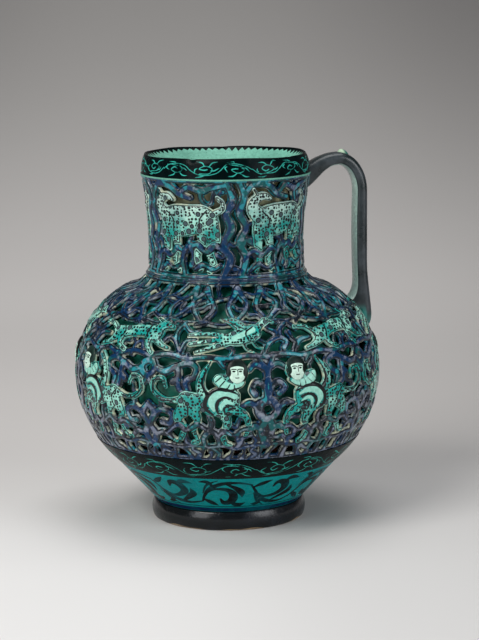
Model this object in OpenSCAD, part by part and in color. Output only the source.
// Double-walled openwork jug in fired clay. A pierced outer shell stands around a plain inner vessel.
// Millimetres. The origin is on the table under the middle of the foot, Z is up, the handle is on +X.

/* [Foot] */
// Height of the foot ring
foot_h = 10.4; // [8:0.2:13]
// Widest radius of the foot ring
foot_r = 42.9; // [40:0.1:46]
// Radius of the opening inside the foot ring
foot_bore_r = 32; // [28:0.5:35]
// Radius of the rounded outer side of the foot ring
foot_round_r = 12; // [11:0.5:16]
// Depth of the boss under the bowl that sits in the foot ring
boss_h = 1.6; // [1:0.1:3]

/* [Bowl] */
// Radius of the bowl where it stands on the foot
bowl_base_r = 40.8; // [38:0.1:42]
// Thickness of the floor
floor_t = 5.5; // [4:0.5:8]
// Radius of the flat floor inside
floor_r = 31; // [26:0.5:34]

/* [Belly] */
// Greatest radius of the belly
belly_r = 84.6; // [78:0.2:92]
// Height of the greatest radius above the table
belly_z = 83; // [76:0.2:90]
// Radius of the outline below the greatest radius
lower_round_r = 65; // [58:0.1:68]
// Radius of the outline above the greatest radius
upper_round_r = 53.3; // [51.5:0.1:57]
// Height of the pierced wall below the greatest radius
lower_rise = 36.5; // [32:0.1:38]
// Height of the pierced wall above the greatest radius
upper_rise = 46.4; // [42:0.1:47.5]
// Height of the solid belt band
belt_h = 12.7; // [10:0.1:14]
// Thickness of the outer shell
shell_t = 4; // [3:0.1:4.4]

/* [Inner vessel] */
// Space between the outer shell and the inner vessel at the greatest radius
wall_gap = 5.5; // [4:0.1:8]
// Thickness of the inner vessel
liner_t = 4; // [3:0.1:5]
// Thickness of the inner neck
tube_t = 3.2; // [2.6:0.1:4]
// Width of the space between the two walls where they stand on the bowl
rib_w = 3.7; // [3:0.1:5]
// Height of the ribs that part the two walls
rib_h = 2; // [1.5:0.1:3]
// Space between the two walls at the waist of the neck
neck_gap = 2.9; // [2:0.1:5]
// Height of the flare at the bottom of the inner neck
flare_h = 14; // [11:0.5:16]

/* [Collar] */
// Height of the collar
collar_h = 9.6; // [8.5:0.1:12]
// Radius of the two bead mouldings on the collar
collar_bead_r = 0.9; // [0.6:0.1:1.6]

/* [Neck] */
// Radius of the neck at its waist
neck_waist_r = 42.9; // [40:0.1:46]
// Height of the neck shell
neck_h = 52; // [46:0.5:62]
// Radius of the hollow outline of the neck
neck_round_r = 180; // [150:5:280]
// Thickness of the neck shell
neck_t = 3.6; // [3:0.1:4.4]

/* [Rim] */
// Height of the rim band
rim_h = 12; // [9:0.1:15]
// How far the rim leans in from its lower edge to the lip
rim_lean = 2.4; // [0.5:0.1:3]
// Thickness of the wall at the lip
lip_t = 2.4; // [1.8:0.1:3.2]
// Radius of the rounded lip
lip_bead_r = 1.4; // [1.3:0.05:1.8]
// Radius of the bead along the rim's lower edge
ledge_bead_r = 0.9; // [0.6:0.1:1.2]
// How far that bead stands out
ledge_proud = 0.5; // [0.3:0.1:0.7]

/* [Handle] */
// Distance from the jug's axis to the outer face of the handle
handle_reach = 79.2; // [74:0.1:84]
// Thickness of the strap
handle_t = 6; // [5:0.1:8]
// Width of the strap
handle_w = 13; // [9:0.1:16]
// Reach of the outer side of the bend
handle_bend_r = 16; // [12:0.1:18]
// Height of the outer side of the bend
handle_bend_h = 21; // [14:0.1:26]
// How far the top of the handle lies below the lip
handle_drop = 2.5; // [0.5:0.1:4]
// Height of the handle's root on the rim and neck
handle_root_h = 17.5; // [13:0.5:20]
// How far the upper edge of the root lies below the top of the handle
handle_dip = 5; // [3:0.1:8]
// Height of the handle's lower tip above the greatest radius
handle_foot_rise = 17.6; // [16:0.2:28]
// Height of the lower part that bends outwards
handle_turn_h = 36.4; // [30:0.2:46]
// How far the handle bends outwards at its lower tip
handle_spread = 4.2; // [1:0.1:6]
// Height of the flare inside the lower end
handle_flare_h = 26; // [22:0.5:32]
// Width of the flare inside the lower end
handle_flare_w = 4; // [2:0.5:6]

/* [Thumb rest] */
// Width of the thumb rest
thumb_w = 6.8; // [5:0.1:8]
// Height of the thumb rest
thumb_h = 2.7; // [2:0.1:3.4]
// Height of the flat seat under it
thumb_seat_h = 0.4; // [0.2:0.1:1]
// Distance from the start of the bend to the middle of the thumb rest
thumb_shift = 3.5; // [0:0.1:5]
// Radius of its peg
peg_r = 1.5; // [1:0.1:2]
// Depth of its peg
peg_h = 3; // [2:0.1:4]

/* [Piercings] */
// Number of figures around the lower belly
lower_cells = 8; // [6:2:10]
// Number of figures around the shoulder
upper_cells = 8; // [6:2:10]
// Number of figures around the neck
neck_cells = 5; // [4:1:6]
// Width of the unpierced pads under the ends of the handle
pad_w = 20; // [17:0.5:28]
// Width of the heads on the shoulder
head_w = 12.8; // [10:0.1:14]
// How far the heads stand out from the wall
head_proud = 1; // [0.5:0.1:1.4]
// Height of the heads above the greatest radius
head_rise = 12.9; // [12:0.1:16]

/* [Fits] */
// Height of the stepped seats between the walls
lap_h = 2; // [1.5:0.1:2.4]
// Clearance in the stepped seats and at the ribs
lap_gap = 0.2; // [0.1:0.05:0.3]
// Thickness of the slip between curved faces
lute_gap = 0.1; // [0.05:0.05:0.3]
// Clearance around the boss and the peg
seat_gap = 0.2; // [0.1:0.05:0.4]

/* [Hidden] */
$fn = 96;

// How far cutting shapes run past what they cut
overrun = 1;
// Number of flats along the bend of the handle
bend_steps = 10;
// Share of a wall's thickness that its stepped seat takes
lap_share = 0.5;
// Height of the widest line of the foot, as a share of its height
foot_mid_share = 0.46;
// Height of the inner shoulder, as a share of the radius of its inner outline
liner_rise_share = 0.9;
// Height of the neck's waist, as a share of the neck shell's height
waist_share = 0.26;
// Corners of the inner side of the handle's root: the share of the way from the bend to the rim, and the
// share of the way from the strap's thickness to the height of the root
root_shares = [[0.6, 0.2], [0.88, 0.55]];
// Highest place of the top of the flare, as a share of the collar's height
flare_top_share = 0.35;
// The collar's two beads, each with its place as a share of the slope, and its depth below the slope as a
// share of the hollow's depth
bead_shares = [[0.8, 0.88], [0.9, 0.58]];
// The hollow in the collar: its place, its depth and its radius, as shares of the slope
cove_shares = [0.53, 0.1, 1.05];
// Share of the wall over the stepped seat that the hollow may take
cove_wall_share = 0.55;
// Place of a head along its cell, and its depth in the wall as a share of the wall's thickness
head_share = 0.25;
head_seat_share = 0.4;

// Piercings of one figure. Each holds its place along the cell and up the wall, its length and its
// width as shares of the unit, and its turn. Length and width are equal in a round piercing.
lower_shares = [
  [-0.375, 0.10, 0.2, 0.13, 90], [-0.125, 0.10, 0.2, 0.13, 90], [0.125, 0.10, 0.2, 0.13, 90],
  [0.375, 0.10, 0.2, 0.13, 90], [-0.25, 0.37, 0.34, 0.2, 10], [-0.02, 0.37, 0.32, 0.2, -10],
  [0.18, 0.45, 0.36, 0.17, 78], [0.38, 0.40, 0.27, 0.27, 0], [0.40, 0.78, 0.34, 0.19, 80],
  [-0.40, 0.56, 0.28, 0.28, 0], [-0.40, 0.90, 0.26, 0.14, 14], [-0.18, 0.88, 0.36, 0.16, -4],
  [0.05, 0.87, 0.32, 0.16, 12]];
upper_shares = [
  [-0.375, 0.85, 0.26, 0.12, 86], [-0.125, 0.85, 0.26, 0.12, 90], [0.125, 0.85, 0.26, 0.12, 90],
  [0.375, 0.85, 0.26, 0.12, 94], [-0.26, 0.62, 0.28, 0.15, 24], [0.06, 0.63, 0.28, 0.15, -20],
  [0.37, 0.58, 0.2, 0.2, 0], [-0.45, 0.65, 0.22, 0.1, 84], [-0.1, 0.46, 0.24, 0.12, -6],
  [0.19, 0.44, 0.24, 0.12, 4], [-0.40, 0.42, 0.2, 0.2, 0], [-0.22, 0.27, 0.26, 0.14, -8],
  [0.01, 0.28, 0.26, 0.14, 6], [0.43, 0.30, 0.28, 0.13, 84], [-0.44, 0.18, 0.22, 0.11, 86],
  [-0.26, 0.07, 0.24, 0.11, 6], [0.02, 0.07, 0.24, 0.11, 0], [0.42, 0.06, 0.17, 0.1, 0]];
neck_shares = [
  [-0.28, 0.86, 0.28, 0.14, 4], [0.03, 0.87, 0.26, 0.14, -10], [0.29, 0.82, 0.26, 0.14, 66],
  [-0.35, 0.33, 0.32, 0.15, 80], [-0.12, 0.31, 0.34, 0.18, 84], [0.10, 0.33, 0.32, 0.14, 98],
  [0.25, 0.45, 0.4, 0.12, 88], [0.42, 0.33, 0.32, 0.12, 90], [0.42, 0.72, 0.34, 0.12, 90],
  [-0.375, 0.08, 0.13, 0.13, 0], [-0.125, 0.08, 0.13, 0.13, 0], [0.125, 0.08, 0.13, 0.13, 0],
  [0.375, 0.08, 0.13, 0.13, 0]];
// Angles at which the first cell of each pierced wall starts
lower_start = -133;
upper_start = -133;
neck_start = -168;

// Heights of the seats between the pieces
belt_top_z = belly_z - lower_rise;
belt_z = belt_top_z - belt_h;
collar_z = belly_z + upper_rise;
neck_z = collar_z + collar_h;
rim_z = neck_z + neck_h;
lip_z = rim_z + rim_h;
waist_z = neck_z + waist_share * neck_h;

// Centres and radii of the outlines of the outer shell
lower_cx = belly_r - lower_round_r;
upper_cx = belly_r - upper_round_r;
lower_in_r = lower_round_r - shell_t;
upper_in_r = upper_round_r - shell_t;
lower_lap_r = lower_in_r + lap_share * shell_t;
upper_lap_r = upper_in_r + lap_share * shell_t;
neck_cx = neck_waist_r + neck_round_r;
neck_lap_r = neck_round_r + (1 - lap_share) * neck_t;

// Half of the chord of a circle at a height above or below its centre
function chord(r, dz) = sqrt(max(r * r - dz * dz, 0));
// Radius of the outside of the neck at a height
function neck_r(z) = neck_cx - chord(neck_round_r, z - waist_z);

// Radii of the walls where they stand on the bowl, and the outline of the lower inner vessel
belt_r = lower_cx + chord(lower_round_r, belly_z - belt_z);
belt_in_r = lower_cx + chord(lower_in_r, belly_z - belt_z);
liner_r = belly_r - shell_t - wall_gap;
liner_seat_r = belt_in_r - rib_w;
liner_drop = liner_r - liner_seat_r;
liner_round_r = (pow(belly_z - belt_z, 2) + pow(liner_drop, 2)) / (2 * liner_drop);
liner_cx = liner_r - liner_round_r;
liner_in_r = liner_round_r - liner_t;
liner_lap_r = liner_in_r + lap_share * liner_t;
liner_seat_in_r = liner_cx + chord(liner_in_r, belly_z - belt_z);

// Outline of the upper inner vessel and of the inner neck
dome_r = liner_r - upper_cx;
dome_in_r = dome_r - liner_t;
dome_lap_r = dome_in_r + lap_share * liner_t;
dome_z = min(belly_z + liner_rise_share * dome_in_r, collar_z + flare_top_share * collar_h - flare_h);
dome_top_r = upper_cx + chord(dome_r, dome_z - belly_z);
dome_top_in_r = upper_cx + chord(dome_in_r, dome_z - belly_z);
// The inner neck passes through the seat on the shoulder and through the waist of the neck
collar_seat_r = upper_cx + chord(upper_in_r, upper_rise + lap_h);
tube_r = min(collar_seat_r, neck_waist_r - neck_t) - neck_gap;
tube_in_r = tube_r - tube_t;
flare_z = dome_z + flare_h;

// Radii of the collar, the neck and the rim
collar_r = upper_cx + chord(upper_round_r, upper_rise);
collar_in_r = upper_cx + chord(upper_in_r, upper_rise);
neck_low_r = neck_r(neck_z);
collar_slope = [neck_low_r - collar_r, neck_z - collar_z];
collar_l = sqrt(pow(collar_slope[0], 2) + pow(collar_slope[1], 2));
// Corner of the collar's stepped seat, the wall between it and the slope, and the depth of the hollow there
seat_top_h = lap_h + lap_gap;
seat_corner_r = upper_cx + chord(upper_lap_r + lap_gap, upper_rise + seat_top_h);
collar_seat_t = (seat_top_h * collar_slope[0] + (collar_r - seat_corner_r) * collar_slope[1]) / collar_l;
cove_r = cove_shares[2] * collar_l;
cove_h = min(cove_shares[1] * collar_l, cove_wall_share * collar_seat_t);
neck_top_r = neck_r(rim_z);
lip_r = neck_top_r - rim_lean;

// A point beside the slope of the collar, from its share of the slope and its height above it
function beside_collar(along_share, above) = [
  collar_r + along_share * collar_slope[0] + above * collar_slope[1] / collar_l,
  collar_z + along_share * collar_slope[1] - above * collar_slope[0] / collar_l];

// Corners of the handle
handle_top_z = lip_z - handle_drop;
bend_x = handle_reach - handle_bend_r;
bend_z = handle_top_z - thumb_seat_h - handle_bend_h;
thumb_x = bend_x + thumb_shift;
tip_z = belly_z + handle_foot_rise;
turn_z = tip_z + handle_turn_h;
pad_angle = function(r) pad_w / 2 / r * 180 / PI;

// One curved wall between two heights, in section
module wall(cx, in_r, out_r, z0, z1) {
  intersection() {
    translate([cx, belly_z]) difference() {
      circle(out_r);
      circle(in_r);
    }
    translate([cx, z0]) square([out_r + overrun, z1 - z0]);
  }
}

// The wall of the neck shell between two heights, in section. Its centre lies outside the jug.
module neck_wall(near_r, far_r, z0, z1) {
  intersection() {
    translate([neck_cx, waist_z]) difference() {
      circle(far_r, $fn = 720);
      circle(near_r, $fn = 720);
    }
    translate([0, z0]) square([neck_cx - chord(near_r, neck_h) + overrun, z1 - z0]);
  }
}

// A pointed leaf that lies along Y, or a round where its length and width are equal
module leaf(l, w) {
  r = (l * l + w * w) / (4 * w);
  if (l == w) circle(l / 2);
  else intersection() {
    translate([r - w / 2, 0]) circle(r);
    translate([w / 2 - r, 0]) circle(r);
  }
}

// Angle of a piercing. Every second cell is turned the other way round.
function pierce_angle(start, cells, cell, along) =
  start + (cell + 1 / 2 + (cell % 2 == 0 ? along : -along)) * 360 / cells;
// True where a piercing would lie under an end of the handle
function padded(angle, r) = cos(angle) > cos(pad_angle(r));

// Cutters for the piercings of a curved wall, square to the wall
module pierce_wall(cx, out_r, rise0, rise1, start, cells, shares, pad_z) {
  a0 = asin(rise0 / out_r);
  a1 = asin(rise1 / out_r);
  span = out_r * (a1 - a0) * PI / 180;
  pitch = 2 * PI * (cx + out_r * cos(max(abs(a0), abs(a1)))) / cells;
  unit = min(span, pitch);
  for (cell = [0:cells - 1], hole = shares) {
    up = a0 + hole[1] * (a1 - a0);
    angle = pierce_angle(start, cells, cell, hole[0]);
    turn = cell % 2 == 0 ? hole[4] : -hole[4];
    r = cx + out_r * cos(up);
    if (!padded(angle, r) || belly_z + out_r * sin(up) < pad_z)
      rotate(angle) translate([cx, 0, belly_z])
        rotate([0, -up, 0]) translate([out_r - shell_t - overrun, 0, 0])
          rotate([0, 90, 0]) rotate(turn)
            linear_extrude(shell_t + 2 * overrun) leaf(hole[2] * unit, hole[3] * unit);
  }
}

// Cutters for the piercings of the neck shell
module pierce_neck() {
  span = neck_h;
  pitch = 2 * PI * neck_waist_r / neck_cells;
  unit = min(span, pitch);
  for (cell = [0:neck_cells - 1], hole = neck_shares) {
    angle = pierce_angle(neck_start, neck_cells, cell, hole[0]);
    turn = cell % 2 == 0 ? hole[4] : -hole[4];
    z = neck_z + hole[1] * neck_h;
    if (!padded(angle, neck_waist_r) || z < lip_z - handle_root_h - pad_w / 2)
      rotate(angle) translate([neck_waist_r - neck_t - overrun, 0, z])
        rotate([0, 90, 0]) rotate(turn)
          linear_extrude(neck_top_r + neck_t) leaf(hole[2] * unit, hole[3] * unit);
  }
}

module foot_ring() {
  color("darkslategray") rotate_extrude() intersection() {
    translate([foot_r - foot_round_r, foot_mid_share * foot_h]) circle(foot_round_r);
    translate([foot_bore_r, 0]) square([foot_r - foot_bore_r + overrun, foot_h]);
  }
}

module base_bowl() {
  color("lightseagreen") rotate_extrude() union() {
    polygon([
      [0, foot_h - boss_h],
      [foot_bore_r - seat_gap, foot_h - boss_h],
      [foot_bore_r - seat_gap, foot_h],
      [bowl_base_r, foot_h],
      [belt_r, belt_z],
      [liner_seat_in_r, belt_z],
      [floor_r, foot_h + floor_t],
      [0, foot_h + floor_t]]);
    intersection() {
      difference() {
        translate([lower_cx, belly_z]) circle(lower_in_r - lap_gap);
        translate([liner_cx, belly_z]) circle(liner_round_r + lap_gap);
      }
      translate([liner_seat_in_r, belt_z - overrun]) square([belly_r, rib_h + overrun]);
    }
  }
}

module belt_band() {
  color("darkslategray") rotate_extrude() union() {
    wall(lower_cx, lower_in_r, lower_round_r, belt_z, belt_top_z);
    wall(lower_cx, lower_in_r, lower_lap_r, belt_top_z - overrun, belt_top_z + lap_h);
  }
}

module belly_shell() {
  color("cadetblue") difference() {
    rotate_extrude() union() {
      difference() {
        wall(lower_cx, lower_in_r, lower_round_r, belt_top_z, belly_z);
        wall(lower_cx, lower_in_r - overrun, lower_lap_r + lap_gap, belt_top_z - overrun,
             belt_top_z + lap_h + lap_gap);
      }
      wall(upper_cx, upper_in_r, upper_lap_r, belly_z, belly_z + lap_h);
      wall(lower_cx, lower_in_r, lower_lap_r, belly_z - overrun, belly_z);
    }
    pierce_wall(lower_cx, lower_round_r, lap_h - lower_rise, -lap_h, lower_start, lower_cells,
                lower_shares, belly_z);
  }
}

// A low round head, with its seat in the wall
module head() {
  round_r = (pow(head_w / 2, 2) + pow(head_proud, 2)) / (2 * head_proud);
  rotate_extrude() intersection() {
    translate([0, head_proud - round_r]) circle(round_r);
    translate([0, -head_seat_share * shell_t]) square([head_w / 2, head_seat_share * shell_t + head_proud]);
  }
}

module shoulder_shell() {
  color("cadetblue") union() {
    difference() {
      rotate_extrude() union() {
        difference() {
          wall(upper_cx, upper_in_r, upper_round_r, belly_z, collar_z);
          wall(upper_cx, upper_in_r - overrun, upper_lap_r + lap_gap, belly_z - overrun,
               belly_z + lap_h + lap_gap);
        }
        wall(upper_cx, upper_in_r, upper_lap_r, collar_z - overrun, collar_z + lap_h);
      }
      pierce_wall(upper_cx, upper_round_r, lap_h, upper_rise - lap_h, upper_start, upper_cells,
                  upper_shares, tip_z - pad_w / 2);
    }
    for (cell = [0:upper_cells - 1])
      rotate(pierce_angle(upper_start, upper_cells, cell, head_share)) translate([upper_cx, 0, belly_z])
        rotate([0, acos(head_rise / upper_round_r), 0]) translate([0, 0, upper_round_r]) head();
  }
}

module neck_collar() {
  color("midnightblue") rotate_extrude() union() {
    difference() {
      union() {
        difference() {
          polygon([
            [collar_in_r, collar_z],
            [collar_r, collar_z],
            [neck_low_r, neck_z],
            [neck_low_r - neck_t, neck_z],
            [neck_low_r - neck_t, collar_z + collar_h / 2]]);
          translate(beside_collar(cove_shares[0], cove_r - cove_h)) circle(cove_r);
        }
        for (share = bead_shares)
          translate(beside_collar(share[0], -share[1] * cove_h)) circle(collar_bead_r);
      }
      wall(upper_cx, upper_in_r - overrun, upper_lap_r + lap_gap, collar_z - overrun,
           collar_z + seat_top_h);
    }
    neck_wall(neck_lap_r, neck_round_r + neck_t, neck_z - overrun, neck_z + lap_h);
  }
}

module neck_shell() {
  color("cadetblue") difference() {
    rotate_extrude() difference() {
      neck_wall(neck_round_r, neck_round_r + neck_t, neck_z, rim_z);
      neck_wall(neck_lap_r - lap_gap, neck_round_r + neck_t + overrun, neck_z - overrun,
                neck_z + lap_h + lap_gap);
    }
    pierce_neck();
  }
}

module rim_band() {
  color("darkslategray") rotate_extrude() union() {
    polygon([
      [tube_in_r, rim_z],
      [neck_top_r, rim_z],
      [lip_r, lip_z - lip_bead_r],
      [lip_r - lip_t, lip_z - lip_bead_r],
      [tube_in_r, rim_z + lip_t]]);
    translate([lip_r - lip_t / 2, lip_z - lip_bead_r]) circle(lip_bead_r);
    translate([neck_top_r + ledge_proud - ledge_bead_r, rim_z + ledge_bead_r + lap_gap]) circle(ledge_bead_r);
    translate([tube_r + lap_gap, rim_z - rib_h])
      square([neck_r(rim_z - rib_h) - neck_t - lap_gap * 2 - tube_r, rib_h + overrun]);
  }
}

module liner_belly() {
  color("seagreen") rotate_extrude() union() {
    wall(liner_cx, liner_in_r, liner_round_r, belt_z, belly_z);
    wall(upper_cx, dome_in_r, dome_lap_r, belly_z, belly_z + lap_h);
    wall(liner_cx, liner_in_r, liner_lap_r, belly_z - overrun, belly_z);
  }
}

module liner_shoulder() {
  color("seagreen") rotate_extrude() union() {
    difference() {
      wall(upper_cx, dome_in_r, dome_r, belly_z, dome_z);
      wall(upper_cx, dome_in_r - overrun, dome_lap_r + lap_gap, belly_z - overrun,
           belly_z + lap_h + lap_gap);
    }
    wall(upper_cx, dome_in_r, dome_lap_r, dome_z - overrun, dome_z + lap_h);
  }
}

module liner_neck() {
  color("seagreen") rotate_extrude() difference() {
    polygon([
      [dome_top_in_r, dome_z],
      [dome_top_r, dome_z],
      [tube_r, flare_z],
      [tube_r, rim_z],
      [tube_in_r, rim_z],
      [tube_in_r, flare_z - tube_t / 2]]);
    wall(upper_cx, dome_in_r - overrun, dome_lap_r + lap_gap, dome_z - overrun, dome_z + lap_h + lap_gap);
  }
}

// Points of the bend at a depth inside its outer side, from the top to the side
function bend(depth) = [for (step = [0:bend_steps]) let (a = 90 * step / bend_steps)
  [bend_x + (handle_bend_r - depth) * sin(a), bend_z + (handle_bend_h - depth) * cos(a)]];
// The same points in the other order
function turned(points) = [for (i = [len(points) - 1:-1:0]) points[i]];

// Outline of the strap from the side, running on into the jug at both ends
module handle_outline() {
  polygon(concat(
    [[neck_waist_r - neck_t, handle_top_z - handle_dip]],
    bend(0),
    [[handle_reach, turn_z],
     [handle_reach + handle_spread, tip_z],
     [upper_cx, tip_z],
     [handle_reach - handle_t - handle_flare_w, tip_z + handle_flare_h / 2],
     [handle_reach - handle_t, tip_z + handle_flare_h]],
    turned(bend(handle_t)),
    [for (share = root_shares)
      [bend_x + share[0] * (neck_top_r - bend_x),
       handle_top_z - handle_t - share[1] * (handle_root_h - handle_t)]],
    [[neck_top_r, handle_top_z - handle_root_h],
     [neck_waist_r - neck_t, handle_top_z - handle_root_h - handle_dip]]));
}

// Section of everything that the handle stands on, larger by the slip
module jug_outline() {
  intersection() {
    translate([upper_cx, belly_z]) circle(upper_round_r + lute_gap);
    translate([0, belly_z]) square([belly_r + overrun, upper_rise]);
  }
  difference() {
    translate([0, collar_z]) square([neck_top_r + lute_gap, rim_z - collar_z]);
    translate([neck_cx, waist_z]) circle(neck_round_r - lute_gap, $fn = 720);
  }
  polygon([
    [0, rim_z],
    [neck_top_r + ledge_proud + lute_gap, rim_z],
    [neck_top_r + ledge_proud + lute_gap, rim_z + ledge_bead_r * 2 + lap_gap],
    [lip_r + lip_bead_r, lip_z],
    [0, lip_z]]);
}

module handle() {
  color("slategray") difference() {
    union() {
      rotate([90, 0, 0]) linear_extrude(handle_w, center = true) handle_outline();
      translate([thumb_x, 0, handle_top_z - handle_t / 2]) cylinder(h = handle_t / 2, r = thumb_w / 2);
    }
    rotate_extrude() jug_outline();
    translate([thumb_x, 0, handle_top_z - peg_h - seat_gap])
      cylinder(h = peg_h + seat_gap + overrun, r = peg_r + seat_gap);
  }
}

module thumb_rest() {
  cap_r = (pow(thumb_w / 2, 2) + thumb_h * thumb_h) / (2 * thumb_h);
  color("honeydew") translate([thumb_x, 0, handle_top_z]) rotate_extrude() {
    intersection() {
      translate([0, thumb_h - cap_r]) circle(cap_r);
      square([thumb_w, thumb_h + overrun]);
    }
    translate([0, -peg_h]) square([peg_r, peg_h + thumb_h / 2]);
  }
}

foot_ring();
base_bowl();
belt_band();
belly_shell();
shoulder_shell();
neck_collar();
neck_shell();
rim_band();
liner_belly();
liner_shoulder();
liner_neck();
handle();
thumb_rest();
